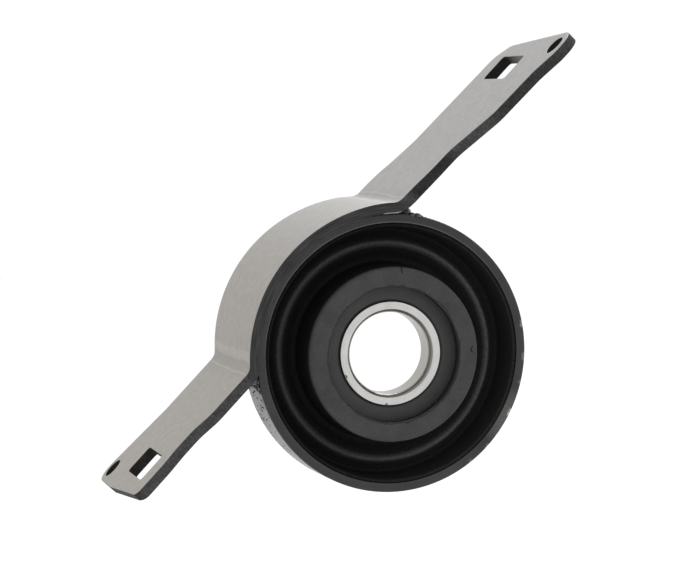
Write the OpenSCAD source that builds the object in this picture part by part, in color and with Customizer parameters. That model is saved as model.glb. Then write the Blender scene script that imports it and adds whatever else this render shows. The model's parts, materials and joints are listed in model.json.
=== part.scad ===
// Centre bearing support for a two-piece drive shaft: a folded steel strap welded to a ring,
// with a sealed ball bearing carried in a convoluted rubber cushion.
// X runs along the arms, Y along the bearing axis and Z up towards the arch of the strap.
// The origin is the centre of the bearing.

/* [Bearing] */
// Bore of the inner ring
bore_d = 30; // [28:0.5:32]
// Outside diameter of the outer ring
bearing_d = 55; // [53:0.5:60]
// Width of both rings
bearing_w = 13; // [12:0.5:18]
// Height of the inner ring's shoulders above the floor of its race
inner_shoulder = 1.42; // [1:0.01:1.8]
// Height of the outer ring's shoulders above the floor of its race
outer_shoulder = 1.32; // [1:0.01:1.6]
// Wall of each ring behind the floor of its race
race_wall = 2.628; // [2:0.001:3]
// Number of balls
ball_count = 11; // [8:1:11]
// Gap between each ball and its race
ball_gap = 0.05; // [0.02:0.01:0.1]
// Race groove radius as a share of the ball diameter
race_fit = 0.52; // [0.51:0.005:0.54]
// Chamfer at both ends of the bore
bore_chamfer = 1.4; // [0.5:0.1:1.5]
// Chamfer on the outer ring's corners
ring_corner = 0.8; // [0.4:0.1:1.2]

/* [Cage] */
// Thickness of the cage strip
cage_t = 0.6; // [0.4:0.1:0.8]
// Gap between a ball and its pocket
pocket_gap = 0.12; // [0.05:0.01:0.2]
// Gap between the cage and each land
cage_land_gap = 0.8; // [0.5:0.1:1.2]
// Diameter of a rivet's shank
rivet_d = 0.9; // [0.7:0.1:1.1]
// Diameter of a rivet's head
rivet_head_d = 1.7; // [1.4:0.1:2]
// Height of a rivet's head
rivet_head_t = 0.45; // [0.3:0.05:0.6]

/* [Seals] */
// Thickness of a seal
seal_t = 1.1; // [0.8:0.1:1.2]
// Depth of a seal's face below the bearing's face
seal_recess = 0.4; // [0.2:0.1:0.6]
// Width of the seat for a seal in the outer ring
seal_seat = 1.5; // [1:0.1:1.6]
// Running gap between a seal's lip and the inner ring
seal_lip_gap = 0.08; // [0.05:0.01:0.12]
// Width of the bevel at a seal's lip
seal_bevel_w = 0.9; // [0.5:0.1:1.5]
// Depth of that bevel
seal_bevel_h = 0.45; // [0.2:0.05:0.6]

/* [Rubber cushion] */
// Wall of the hub round the bearing
hub_wall = 4.4; // [3:0.1:5]
// Distance from the bearing's front face to the hub's front face
front_lip_t = 5; // [4:0.1:8]
// Distance from the bearing's rear face to the hub's rear face
rear_lip_t = 4.5; // [3:0.1:8]
// How far the front lip covers the outer ring
front_lip_cover = 2.5; // [2:0.1:3.2]
// How far the rear lip covers the outer ring
rear_lip_cover = 1.8; // [1:0.1:3]
// Rounding of the hub's outer corners
hub_round = 1.2; // [0.5:0.1:2]
// Thickness of the sleeve bonded to the ring
sleeve_t = 1.6; // [1:0.1:2.5]
// Draft of the sleeve and of the hub's wall over the depth of the web
wall_draft = 1; // [0.5:0.1:1.5]
// Distance from each edge of the ring to the sleeve's end
sleeve_inset = 0.6; // [0.2:0.1:1.5]
// Thickness of the web between hub and sleeve
web_t = 3.2; // [2.5:0.1:4]
// Depth of the web's grooves behind the bearing's middle plane
groove_y = 6.5; // [5:0.1:7]
// Size of the soft fillets at the foot of the hub's wall and of the sleeve
groove_fillet = 2.4; // [1.5:0.1:3]
// Height of the rib between the grooves
rib_h = 4.5; // [3:0.1:5]
// Shift of the rib's crest outwards from the middle of the web
rib_shift = 0.8; // [0:0.1:1]

/* [Housing ring] */
// Outside diameter of the ring
ring_d = 102; // [98:0.1:110]
// Wall of the ring
ring_wall = 3; // [2:0.1:4]
// Width of the ring
ring_w = 19.5; // [18:0.5:26]
// Chamfer on the ring's outer edges
ring_chamfer = 0.6; // [0.2:0.1:1]

/* [Strap] */
// Thickness of the plate
strap_t = 4; // [3:0.1:5]
// Distance from the bearing's middle plane to the strap's front edge
strap_front = 15; // [12:0.5:20]
// Distance from the bearing's middle plane to the strap's rear edge
strap_rear = 42; // [40:0.5:46]
// Height of the arms' underside above the bearing axis
arm_h = 33; // [30:0.5:36]
// Inside radius of the two bends
bend_r = 5; // [3:0.5:7]
// Radius of the soft corners of the outline
soft_r = 12; // [6:1:16]
// Diameter of the bolt holes
bolt_hole_d = 7.6; // [6.4:0.1:9]
// Length of the window in each arm, across the arm
window_l = 23; // [16:0.5:24]
// Width of the window in each arm, along the arm
window_w = 11.5; // [8:0.5:12]
// Distance of both windows behind the bearing's middle plane
window_y = 9; // [6:0.5:12]

/* [Right arm] */
// Reach of the right arm from the bearing axis
right_reach = 127; // [122:0.5:140]
// How far the right arm's front edge steps forwards
right_step_front = 11; // [8:0.5:13]
// How far the right arm's rear edge steps forwards
right_step_rear = 6.5; // [4:0.5:9]
// Distance from the tip to the end of the front edge's step
right_step_front_x = 41.5; // [38:0.5:46]
// Distance from the tip to the end of the rear edge's step
right_step_rear_x = 55.5; // [50:0.5:60]
// Length of both steps along the arm
right_step_l = 18; // [14:0.5:22]
// How far the front edge leans forwards from the step to the ear
right_lean_front = 2.4; // [1:0.1:3]
// How far the rear edge leans forwards from the step to the cut corner
right_lean_rear = 4.6; // [2:0.1:6]
// Distance from the tip to where the rear corner is cut off
right_cut_x = 12.5; // [11:0.5:16]
// Length of the cut corner along the arm
right_cut_l = 6.5; // [5:0.5:9]
// Depth of the cut corner across the arm
right_cut_w = 7.5; // [6:0.5:12]
// Radius of the ear round the right bolt hole
right_ear_r = 7.4; // [6.5:0.1:8]
// Distance of the right bolt hole in front of the bearing's middle plane
right_hole_y = 25.4; // [24:0.1:28]
// Distance from the tip to the middle of the right window
right_window_x = 17.75; // [16:0.25:22]

/* [Left arm] */
// Reach of the left arm from the bearing axis
left_reach = 104; // [100:0.5:116]
// How far the left arm's front edge steps backwards to its waist
left_step_front = 4; // [2:0.5:6]
// Distance from the tip to the end of the front edge's step
left_step_front_x = 34; // [32:0.5:38]
// How far the front edge flares forwards again from the waist to the tip
left_flare_front = 1.4; // [0.5:0.1:2.5]
// Distance from the tip to the end of the front edge's flare
left_flare_front_x = 17; // [16:0.5:20]
// Length of the step and of the front flare along the arm
left_step_l = 8.5; // [7:0.5:11]
// Distance from the tip to where the rear edge flares backwards towards the ear
left_flare_rear_x = 36; // [30:0.5:42]
// Radius of the ear round the left bolt hole
left_ear_r = 6.2; // [5.8:0.1:7]
// Distance of the left bolt hole behind the bearing's middle plane
left_hole_y = 41.6; // [40:0.1:44]
// How far the end edge leans in towards the front corner
left_lean_l = 1.9; // [1:0.1:4]
// Length of the leaning part of the end edge
left_lean_w = 26.4; // [22:0.1:30]
// Radius of the front corner
left_corner_r = 10; // [6:0.5:12]
// Distance from the tip to the middle of the left window
left_window_x = 14.75; // [13.5:0.25:18]

/* [Welds] */
// Height of the weld seams in the corner between arm and ring
weld_leg = 3; // [2.5:0.1:5]
// Distance from each edge of the ring to the end of a seam
weld_inset = 0.8; // [0.4:0.1:3]

/* [Hidden] */
$fn = 128;
BALL_NODES = [for (i = [1:ball_count]) str("ball_", i)];
// Room that a cutting body needs past the surface it cuts
past = 1;
// Corner radius of an ear as a share of the ear's radius
ear_share = 0.94;
steel_plate = [0.68, 0.68, 0.67];
black_steel = [0.13, 0.13, 0.14];
weld_grey = [0.22, 0.22, 0.23];
black_rubber = [0.07, 0.07, 0.07];
bearing_steel = [0.78, 0.78, 0.76];
seal_black = [0.15, 0.15, 0.15];
cage_steel = [0.6, 0.58, 0.54];

// Bearing
half_w = bearing_w / 2;
bore_r = bore_d / 2;
bearing_r = bearing_d / 2;
pitch_r = (bore_r + bearing_r) / 2;
ball_r = (bearing_r - bore_r) / 2 - race_wall - ball_gap;
inner_land_r = pitch_r - ball_r + inner_shoulder;
outer_land_r = pitch_r + ball_r - outer_shoulder;
race_r = race_fit * 2 * ball_r;
outer_race_r = pitch_r + ball_r + ball_gap - race_r;
inner_race_r = pitch_r - ball_r - ball_gap + race_r;
seal_out_y = half_w - seal_recess;
seal_in_y = seal_out_y - seal_t;
seal_r = outer_land_r + seal_seat;
seal_lip_r = inner_land_r + seal_lip_gap;
cage_in_r = inner_land_r + cage_land_gap;
cage_out_r = outer_land_r - cage_land_gap;
pocket_r = ball_r + pocket_gap;
ball_step = 360 / ball_count;

// Ring and cushion
ring_r = ring_d / 2;
ring_in_r = ring_r - ring_wall;
hub_r = bearing_r + hub_wall;
hub_front_y = -half_w - front_lip_t;
hub_rear_y = half_w + rear_lip_t;
sleeve_end_y = ring_w / 2 - sleeve_inset;
web_in_r = hub_r + wall_draft;
web_out_r = ring_in_r - sleeve_t - wall_draft;
rib_r = (web_in_r + web_out_r) / 2 + rib_shift;
foot_in_r = web_in_r + groove_fillet;
foot_out_r = web_out_r - groove_fillet;
foot_y = groove_y - groove_fillet;

// Strap section: the bend's centre lies where it touches both the arch and the arm
strap_r = ring_r + strap_t;
arm_top = arm_h + strap_t;
bend_z = arm_top + bend_r;
bend_x = sqrt(pow(strap_r + bend_r, 2) - pow(bend_z, 2));
bend_angle = atan2(bend_z, bend_x);
bend_out_r = bend_r + strap_t;
strap_reach = strap_r + right_reach + left_reach;
right_front = -strap_front - right_step_front;
right_rear = strap_rear - right_step_rear;
right_cut_y = right_rear - right_lean_rear;
left_waist = -strap_front + left_step_front;
left_front = left_waist - left_flare_front;
right_hole = [right_reach - right_ear_r, -right_hole_y];
left_hole = [-left_reach + left_ear_r, left_hole_y];

// Weld seams: a bead in the corner between ring and arm
weld_r = 0.68 * weld_leg;
weld_z = arm_h - weld_leg / 2;
weld_x = sqrt(pow(ring_r, 2) - pow(arm_h - weld_leg, 2));
weld_y = ring_w / 2 - weld_inset;

// Unit vector from a to b
function unit(a, b) = (b - a) / norm(b - a);

// Points of the arc that rounds the corner b, between a and c, to radius r
function corner_arc(a, b, c, r, steps = 8) =
    let (u = unit(b, a), v = unit(b, c), half = acos(u * v) / 2)
    let (middle = b + (u + v) / norm(u + v) * r / sin(half))
    let (from = b + u * r / tan(half) - middle, to = b + v * r / tan(half) - middle)
    let (start = atan2(from[1], from[0]), turn = atan2(to[1], to[0]) - start)
    let (sweep = turn > 180 ? turn - 360 : turn < -180 ? turn + 360 : turn)
    [for (i = [0:steps]) middle + r * [cos(start + sweep * i / steps), sin(start + sweep * i / steps)]];

// Outline through corners [x, y, radius], with each corner of a radius above 0 made round
function rounded(corners) =
    let (n = len(corners), p = [for (c = corners) [c[0], c[1]]])
    [for (i = [0:n - 1])
        each corners[i][2] > 0
            ? corner_arc(p[(i + n - 1) % n], p[i], p[(i + 1) % n], corners[i][2])
            : [p[i]]];

// Points of the parabola that leaves a towards b and arrives at c from b
function soft_corner(a, b, c, steps = 6) =
    [for (i = [0:steps]) let (t = i / steps) (1 - t) * (1 - t) * a + 2 * t * (1 - t) * b + t * t * c];

// Turns a profile of (radius, place along the axis) about the bearing axis
module turned() {
    rotate([-90, 0, 0])
        rotate_extrude()
            children();
}

// Runs a section of (x, z) along Y from one place to another
module along_y(from, to) {
    translate([0, to, 0])
        rotate([90, 0, 0])
            linear_extrude(to - from)
                children();
}

// Repeats children round the bearing axis, once for each ball
module at_each_ball(turn = 0) {
    for (i = [0:ball_count - 1])
        rotate([0, turn + i * ball_step, 0])
            children();
}

// Side view of one bend and one arm, on the right of the bearing axis
module bend_and_arm() {
    intersection() {
        translate([bend_x, bend_z])
            difference() {
                circle(bend_out_r);
                circle(bend_r);
            }
        polygon([[bend_x, bend_z], [0, 0], [bend_x, 0]]);
    }
    translate([bend_x, arm_h])
        square([strap_reach, strap_t]);
}

// Side view of the whole strap
module strap_section() {
    intersection() {
        difference() {
            circle(strap_r);
            circle(ring_r);
        }
        polygon([[0, 0], [bend_x, bend_z], [0, 2 * strap_r], [-bend_x, bend_z]]);
    }
    bend_and_arm();
    mirror([1, 0])
        bend_and_arm();
}

// Outline of the strap seen from above
module strap_outline() {
    right_front_step = right_reach - right_step_front_x;
    right_rear_step = right_reach - right_step_rear_x;
    right_cut = right_reach - right_cut_x;
    left_front_step = left_step_front_x - left_reach;
    left_front_flare = left_flare_front_x - left_reach;
    polygon(rounded([
        [right_front_step - right_step_l, -strap_front, soft_r],
        [right_front_step, right_front, soft_r],
        [right_hole[0] - 1.8 * right_ear_r, right_front - right_lean_front, soft_r],
        [right_hole[0] - right_ear_r / 2, right_hole[1] - right_ear_r, right_ear_r],
        [right_reach, right_hole[1] - right_ear_r, ear_share * right_ear_r],
        [right_cut + right_cut_l, right_cut_y - right_cut_w, right_ear_r],
        [right_cut, right_cut_y, soft_r / 2],
        [right_rear_step, right_rear, soft_r],
        [right_rear_step - right_step_l, strap_rear, soft_r],
        [left_flare_rear_x - left_reach, strap_rear, soft_r],
        [left_hole[0] + left_ear_r / 4, left_hole[1] + left_ear_r, left_ear_r],
        [-left_reach, left_hole[1] + left_ear_r, ear_share * left_ear_r],
        [-left_reach, left_front + left_lean_w, soft_r],
        [left_lean_l - left_reach, left_front, left_corner_r],
        [left_front_flare, left_front, soft_r],
        [left_front_flare + left_step_l, left_waist, soft_r],
        [left_front_step, left_waist, soft_r],
        [left_front_step + left_step_l, -strap_front, soft_r]
    ]));
}

// Bolt holes and windows through both arms
module strap_cuts() {
    for (hole = [right_hole, left_hole])
        translate([hole[0], hole[1], arm_h - past])
            cylinder(d = bolt_hole_d, h = strap_t + 2 * past);
    for (x = [right_reach - right_window_x, left_window_x - left_reach])
        translate([x - window_w / 2, window_y - window_l / 2, arm_h - past])
            cube([window_w, window_l, strap_t + 2 * past]);
}

// Flat plate, cut to the outline and folded over the ring
module bracket_strap() {
    color(steel_plate)
        difference() {
            intersection() {
                along_y(-strap_reach, strap_reach)
                    strap_section();
                linear_extrude(2 * strap_r)
                    strap_outline();
            }
            strap_cuts();
        }
}

// Slice of steel tube
module housing_ring() {
    half = ring_w / 2;
    color(black_steel)
        turned()
            polygon([[ring_in_r, -half],
                     [ring_r - ring_chamfer, -half],
                     [ring_r, -half + ring_chamfer],
                     [ring_r, half - ring_chamfer],
                     [ring_r - ring_chamfer, half],
                     [ring_in_r, half]]);
}

// Weld bead in the corner between the ring and the right arm
module weld_seam() {
    difference() {
        along_y(-weld_y, weld_y)
            translate([weld_x, weld_z])
                circle(weld_r);
        along_y(-weld_y - past, weld_y + past)
            circle(ring_r);
        along_y(-weld_y - past, weld_y + past)
            strap_section();
    }
}

module weld_right() {
    color(weld_grey)
        weld_seam();
}

module weld_left() {
    color(weld_grey)
        mirror([1, 0, 0])
            weld_seam();
}

// Place of the web's front face at radius r: two grooves with a round rib between them
function web_front(r) =
    let (reach = r < rib_r ? rib_r - web_in_r : web_out_r - rib_r)
    groove_y - rib_h * pow(cos(90 * (r - rib_r) / reach), 2);

// Section of the cushion: hub, web and the sleeve that is bonded to the ring
module cushion_section() {
    steps = 16;
    web_radii = [for (i = [0:steps]) foot_in_r + (foot_out_r - foot_in_r) * i / steps];
    front = [for (r = web_radii) [r, web_front(r)]];
    rear = [for (i = [steps:-1:0]) [web_radii[i], web_front(web_radii[i]) + web_t]];
    hub_foot = [web_in_r - wall_draft * groove_fillet / (groove_y - hub_front_y), foot_y];
    sleeve_foot = [web_out_r + wall_draft * groove_fillet / (groove_y + sleeve_end_y), foot_y];
    front_lip_r = bearing_r - front_lip_cover;
    rear_lip_r = bearing_r - rear_lip_cover;
    polygon(concat(
        [[bearing_r, -half_w], [front_lip_r, -half_w], [front_lip_r, hub_front_y]],
        corner_arc([front_lip_r, hub_front_y], [hub_r, hub_front_y], hub_foot, hub_round),
        soft_corner(hub_foot, [web_in_r, groove_y], front[0]),
        [for (i = [1:steps - 1]) front[i]],
        soft_corner(front[steps], [web_out_r, groove_y], sleeve_foot),
        [[ring_in_r - sleeve_t, -sleeve_end_y], [ring_in_r, -sleeve_end_y],
         [ring_in_r, sleeve_end_y], [ring_in_r - sleeve_t, sleeve_end_y]],
        rear,
        corner_arc(rear[steps], [hub_r, hub_rear_y], [rear_lip_r, hub_rear_y], hub_round),
        [[rear_lip_r, hub_rear_y], [rear_lip_r, half_w], [bearing_r, half_w]]));
}

module rubber_cushion() {
    color(black_rubber)
        turned()
            cushion_section();
}

// Outer ring with its race and the two stepped seats for the seals
module bearing_outer_ring() {
    color(bearing_steel)
        difference() {
            turned()
                polygon([[outer_land_r, -seal_in_y],
                         [seal_r, -seal_in_y],
                         [seal_r, -half_w],
                         [bearing_r - ring_corner, -half_w],
                         [bearing_r, -half_w + ring_corner],
                         [bearing_r, half_w - ring_corner],
                         [bearing_r - ring_corner, half_w],
                         [seal_r, half_w],
                         [seal_r, seal_in_y],
                         [outer_land_r, seal_in_y]]);
            turned()
                translate([outer_race_r, 0])
                    circle(race_r);
        }
}

// Inner ring with its race and a chamfered bore
module bearing_inner_ring() {
    bore_end = half_w - bore_chamfer;
    color(bearing_steel)
        difference() {
            turned()
                polygon([[bore_r, -bore_end],
                         [bore_r + bore_chamfer, -half_w],
                         [inner_land_r, -half_w],
                         [inner_land_r, half_w],
                         [bore_r + bore_chamfer, half_w],
                         [bore_r, bore_end]]);
            turned()
                translate([inner_race_r, 0])
                    circle(race_r);
        }
}

// Flat seal disc with a bevel at its lip
module seal_disc() {
    color(seal_black)
        turned()
            polygon([[seal_lip_r, seal_in_y],
                     [seal_r, seal_in_y],
                     [seal_r, seal_out_y],
                     [seal_lip_r + seal_bevel_w, seal_out_y],
                     [seal_lip_r, seal_out_y - seal_bevel_h]]);
}

module seal_rear() {
    seal_disc();
}

module seal_front() {
    mirror([0, 1, 0])
        seal_disc();
}

// Round bar that lies along the radius through each ball
module radial_bars(radius) {
    at_each_ball()
        translate([cage_in_r - past, 0, 0])
            rotate([0, 90, 0])
                cylinder(r = radius, h = cage_out_r - cage_in_r + 2 * past);
}

// One pressed cage half, on the rear side: a strip that runs flat between the balls and arches over each
module cage_half() {
    color(cage_steel)
        difference() {
            intersection() {
                turned()
                    translate([cage_in_r, 0])
                        square([cage_out_r - cage_in_r, pocket_r + cage_t + past]);
                union() {
                    turned()
                        translate([cage_in_r - past, 0])
                            square([cage_out_r - cage_in_r + 2 * past, cage_t]);
                    radial_bars(pocket_r + cage_t);
                }
            }
            radial_bars(pocket_r);
            at_each_ball(ball_step / 2)
                translate([pitch_r, -past, 0])
                    rotate([-90, 0, 0])
                        cylinder(d = rivet_d, h = cage_t + 2 * past);
        }
}

module cage_rear() {
    cage_half();
}

module cage_front() {
    mirror([0, 1, 0])
        cage_half();
}

// Rivets that hold the two cage halves together, one between each two balls
module cage_rivets() {
    color(cage_steel)
        at_each_ball(ball_step / 2)
            translate([pitch_r, 0, 0])
                turned()
                    polygon([[0, -cage_t - rivet_head_t],
                             [rivet_head_d / 2, -cage_t - rivet_head_t],
                             [rivet_head_d / 2, -cage_t],
                             [rivet_d / 2, -cage_t],
                             [rivet_d / 2, cage_t],
                             [rivet_head_d / 2, cage_t],
                             [rivet_head_d / 2, cage_t + rivet_head_t],
                             [0, cage_t + rivet_head_t]]);
}

// One ball, counted from the +X side
module ball(number) {
    color(bearing_steel)
        rotate([0, (number - 1) * ball_step, 0])
            translate([pitch_r, 0, 0])
                sphere(ball_r);
}

bracket_strap();
housing_ring();
weld_left();
weld_right();
rubber_cushion();
bearing_outer_ring();
bearing_inner_ring();
seal_front();
seal_rear();
cage_front();
cage_rear();
cage_rivets();
for (i = [1:ball_count])
    ball(i);
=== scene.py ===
"""Looks of a driveshaft centre bearing: folded strap, welded ring, rubber cushion and sealed ball bearing.

X runs along the arms, Y along the bearing axis away from the viewer and Z up towards the arch.
Shapes are worked out in millimetres, and make_piece() puts them into meshes in metres.
"""
import json
import math

import bmesh
import bpy
import numpy as np
from mathutils import Matrix, Vector
from mathutils.geometry import delaunay_2d_cdt


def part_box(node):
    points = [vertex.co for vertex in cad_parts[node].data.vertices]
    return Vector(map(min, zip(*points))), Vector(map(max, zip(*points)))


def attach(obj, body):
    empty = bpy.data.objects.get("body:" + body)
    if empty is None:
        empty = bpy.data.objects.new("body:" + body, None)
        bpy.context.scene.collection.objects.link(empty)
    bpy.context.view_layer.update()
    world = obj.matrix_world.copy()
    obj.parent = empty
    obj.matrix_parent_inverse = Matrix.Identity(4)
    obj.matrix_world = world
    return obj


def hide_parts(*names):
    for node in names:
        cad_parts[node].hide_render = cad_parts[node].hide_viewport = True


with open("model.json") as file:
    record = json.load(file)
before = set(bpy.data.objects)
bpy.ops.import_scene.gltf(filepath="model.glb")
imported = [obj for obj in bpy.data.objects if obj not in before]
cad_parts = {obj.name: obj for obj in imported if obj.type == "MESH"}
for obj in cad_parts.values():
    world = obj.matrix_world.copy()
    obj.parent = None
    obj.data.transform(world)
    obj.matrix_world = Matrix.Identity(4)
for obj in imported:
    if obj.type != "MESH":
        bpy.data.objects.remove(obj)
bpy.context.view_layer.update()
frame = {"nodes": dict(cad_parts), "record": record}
MM = 0.001
SEED = 20


def low(node):
    """Lowest corner of a CAD node in millimetres."""
    return np.array(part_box(node)[0]) / MM


def high(node):
    """Highest corner of a CAD node in millimetres."""
    return np.array(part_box(node)[1]) / MM


def mount(name):
    """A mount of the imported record, with its place in millimetres."""
    found = next(m for m in frame["record"]["mounts"] if m["name"] == name)
    return np.array(found["pos_m"]) / MM, found["dims"]


# Bearing; a nick is the place (x, z) of an arc, its radius and the direction of its open side
BORE_R = mount("shaft_bore")[1]["r_mm"]
HALF_W = high("bearing_outer_ring")[1]
BEARING_R = high("bearing_outer_ring")[0]
INNER_R = high("bearing_inner_ring")[0]
SEAL_R = high("seal_front")[0]
SEAL_FACE = -low("seal_front")[1]
SEAL_BACK = -high("seal_front")[1]
BORE_CHAMFER = 1.4
RACE_R = 3.7149
OUTER_RACE_MIDDLE = 21.1571
INNER_RACE_MIDDLE = 21.3429
OUTER_LAND_R = SEAL_R - 1.5
BORE_ROUND = 2.6
BEARING_TURNS = 256
RACE_NICKS = [(-17.75, 6.8, 0.5, math.radians(159.0)), (-14.75, -11.9, 0.4, math.radians(219.0))]

# Ring and cushion; a chip of the ring is its angle and half width in degrees, and its strength
RING_R = high("housing_ring")[0]
RING_HALF = high("housing_ring")[1]
RING_IN_R = high("rubber_cushion")[0]
HUB_FRONT = low("rubber_cushion")[1]
HUB_REAR = high("rubber_cushion")[1]
HUB_R = BEARING_R + 4.4
HUB_ROUND = 1.2
FRONT_LIP_R = BEARING_R - 2.5
REAR_LIP_R = BEARING_R - 1.8
LIP_ROUND = 0.5
REAR_TIP_ROUND = 0.2
SLEEVE_T = 1.6
WALL_DRAFT = 1.0
SLEEVE_END = RING_HALF - 0.6
WEB_T = 3.2
GROOVE_Y = 6.5
RIB_H = 4.5
RIB_SHIFT = 0.8
GROOVE_FILLET = 2.4
RING_LEAN = 0.02
RING_RISE = 0.27
RING_COVER = 0.3
RING_IN_ROUND = 0.35
RING_OUT_ROUND = 0.6
RING_TURNS = 360
CUSHION_TURNS = 400
RING_CHIPS = [(-35.2, 1.7, 0.4), (-49.0, 2.4, 0.25), (-60.0, 0.9, 0.2), (-73.5, 1.9, 0.9), (-90.6, 1.3, 0.26),
              (-100.0, 1.0, 0.26)]
RING_HIGHLIGHT_ANGLE = math.radians(60.0)
RING_WORN = (math.radians(-76.0), math.radians(13.0))
CREVICE_SHADE_SINE = 0.565
PAINTED_LIGHT_ANGLE = math.radians(-60.0)
FIN_H = 0.26
FIN_REACH = (0.5, 1.6)
HUB_NICKS = [(21.8, -21.1, 1.1, math.radians(-45.0)), (24.9, 18.7, 1.2, math.radians(-60.0))]
NICK_LINE = (0.32, 0.12)

# Strap
STRAP_T = 4.0
STRAP_R = RING_R + STRAP_T
STRAP_FRONT = 15.0
STRAP_REAR = 42.0
ARM_H = mount("right_pad")[0][2] - STRAP_T
BEND_R = 5.0
SOFT_R = 12.0
EDGE_R = 0.35
WINDOW = (11.5, 23.0)
WINDOW_Y = 9.0
WINDOW_CORNER = 1.4
HOLE_R = mount("right_bolt_hole")[1]["r_mm"]
BEND_Z = ARM_H + STRAP_T + BEND_R
BEND_X = math.sqrt((STRAP_R + BEND_R) ** 2 - BEND_Z ** 2)
BEND_ANGLE = math.atan2(BEND_Z, BEND_X)
BEND_TURN = math.pi / 2 - BEND_ANGLE
ARCH_S = STRAP_R * BEND_TURN
FLAT_S = ARCH_S + BEND_R * BEND_TURN
BEND_LIFT = 1.0
BEND_LIFT_REACH = (18.0, 13.0)
BEND_SWELL = 0.55
BEND_SWELL_RUN = (4.0, 6.0)
# A burr along the strap's underside by the right bend, painted bright as a glint.
BURR_GLINT_X = 36.2
BURR_GLINT_H = 0.28
BURR_GLINT_REACH = (2.9, 1.9)
EDGE_STEP = 0.6
SHEET_STEP = 2.5
SHEET_MARGIN = (18.0, 6.0)

# Outline of the arms: every _X is a distance from the arm's tip, the rest are steps and leans across it
EAR_SHARE = 0.94
RIGHT_EAR_R = 7.4
RIGHT_HOLE = mount("right_bolt_hole")[0][:2]
RIGHT_REACH = RIGHT_HOLE[0] + RIGHT_EAR_R
RIGHT_STEP_L = 18.0
RIGHT_FRONT_X = 41.5
RIGHT_FRONT = -STRAP_FRONT - 11.0
RIGHT_FRONT_LEAN = 2.4
RIGHT_REAR_X = 55.5
RIGHT_REAR = STRAP_REAR - 6.5
RIGHT_REAR_LEAN = 4.6
RIGHT_CUT_X = 12.5
RIGHT_CUT = (6.5, 7.5)
RIGHT_WINDOW_X = 17.75
LEFT_EAR_R = 6.2
LEFT_HOLE = mount("left_bolt_hole")[0][:2]
LEFT_REACH = LEFT_EAR_R - LEFT_HOLE[0]
LEFT_STEP_L = 8.5
LEFT_WAIST_X = 34.0
LEFT_WAIST = -STRAP_FRONT + 4.0
LEFT_FLARE_X = 17.0
LEFT_FRONT = LEFT_WAIST - 1.4
LEFT_REAR_X = 36.0
LEFT_END_LEAN = (3.6, 37.0)
LEFT_CORNER_R = 3.5
LEFT_BREAK = 0.7
LEFT_WINDOW_X = 14.75
LEFT_TIP_S = BEND_X - FLAT_S - LEFT_REACH + 2 * LEFT_CORNER_R

# Weld seams; a nub is its angle in degrees, its place along the axis and its size
WELD_LEG = 3.0
WELD_R = 0.57 * WELD_LEG
WELD_BITE = 0.5
WELD_PITCH = 1.7
WELD_END = 2.2
WELD_DROPS = 80
WELD_TOE = 16
WELD_NUBS = [(33.0, -9.0, 1.5), (31.2, -9.2, 0.6), (35.3, -8.8, 1.4)]
WELD_Z = ARM_H - WELD_LEG / 2
WELD_X = math.sqrt(RING_R ** 2 - (ARM_H - WELD_LEG) ** 2)
WELD_Y = high("weld_right")[1]

# Camera, found from the photograph's edges: focal length and places are in pixels of its frame
FRAME_W = 700
FRAME_H = 569
FOCAL_PX = 2394.5
AXIS_PX = (385.55, 351.75)
CAMERA_ROLL = math.radians(45.923)
CAMERA_AZIMUTH = math.radians(-8.03)
CAMERA_ELEVATION = math.radians(14.464)
CAMERA_DISTANCE = 881.6
SENSOR_W = 36.0

# Studio, in metres: brightness of the room from straight behind the part (0) to the viewer's side (1)
ROOM_LIGHT = [(0.0, 1.0), (0.4, 1.0), (0.6, 1.15), (0.8, 1.1), (1.0, 0.85)]
TOP_LIGHT = 5.0
TOP_LIGHT_DISTANCE = 0.8
TOP_LIGHT_SIZE = 0.6
FLOOR_Z = -0.32
FLOOR_FRONT = -0.3
FLOOR_REACH = 3.0


# Shapes

def corner_arc(a, b, c, radius, steps=8):
    """Points of the arc that rounds the corner b between a and c and touches both of its sides."""
    a, b, c = np.array([a, b, c], float)
    u = (a - b) / np.linalg.norm(a - b)
    v = (c - b) / np.linalg.norm(c - b)
    half = np.arccos(np.clip(u @ v, -1, 1)) / 2
    middle = b + (u + v) / np.linalg.norm(u + v) * radius / np.sin(half)
    first = b + u * radius / np.tan(half) - middle
    last = b + v * radius / np.tan(half) - middle
    start = np.arctan2(first[1], first[0])
    sweep = (np.arctan2(last[1], last[0]) - start + np.pi) % (2 * np.pi) - np.pi
    turn = start + sweep * np.linspace(0, 1, steps + 1)
    return middle + radius * np.stack([np.cos(turn), np.sin(turn)], axis=1)


def rounded(corners, steps):
    """Closed outline through corners (x, y, radius), each corner with a radius replaced by its arc."""
    places = np.array([c[:2] for c in corners], float)
    stretches = []
    for i, corner in enumerate(corners):
        after = places[(i + 1) % len(corners)]
        if corner[2] > 0:
            stretches.append(corner_arc(places[i - 1], places[i], after, corner[2], steps))
        else:
            stretches.append(places[i:i + 1])
    return np.concatenate(stretches)


def mirrored(corners):
    """Corners (radius, y, rounding) of half a section, then their mirror images in reverse order."""
    return corners + [(radius, -y, rounding) for radius, y, rounding in reversed(corners)]


def soft_corner(a, b, c):
    """Curve from a to c that leaves along a-b and arrives along b-c: the parabola with control point b."""
    t = np.linspace(0, 1, 11)[:, None]
    return (1 - t) ** 2 * np.array(a) + 2 * t * (1 - t) * np.array(b) + t ** 2 * np.array(c)


def along(points, spacing):
    """The same closed line with each straight stretch cut into equal steps no longer than spacing."""
    ends = np.roll(points, -1, axis=0)
    counts = np.maximum(1, np.ceil(np.linalg.norm(ends - points, axis=1) / spacing)).astype(int)
    index = np.repeat(np.arange(len(points)), counts)
    step = np.arange(len(index)) - np.repeat(np.cumsum(counts) - counts, counts)
    share = (step / counts[index])[:, None]
    return points[index] * (1 - share) + ends[index] * share


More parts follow.
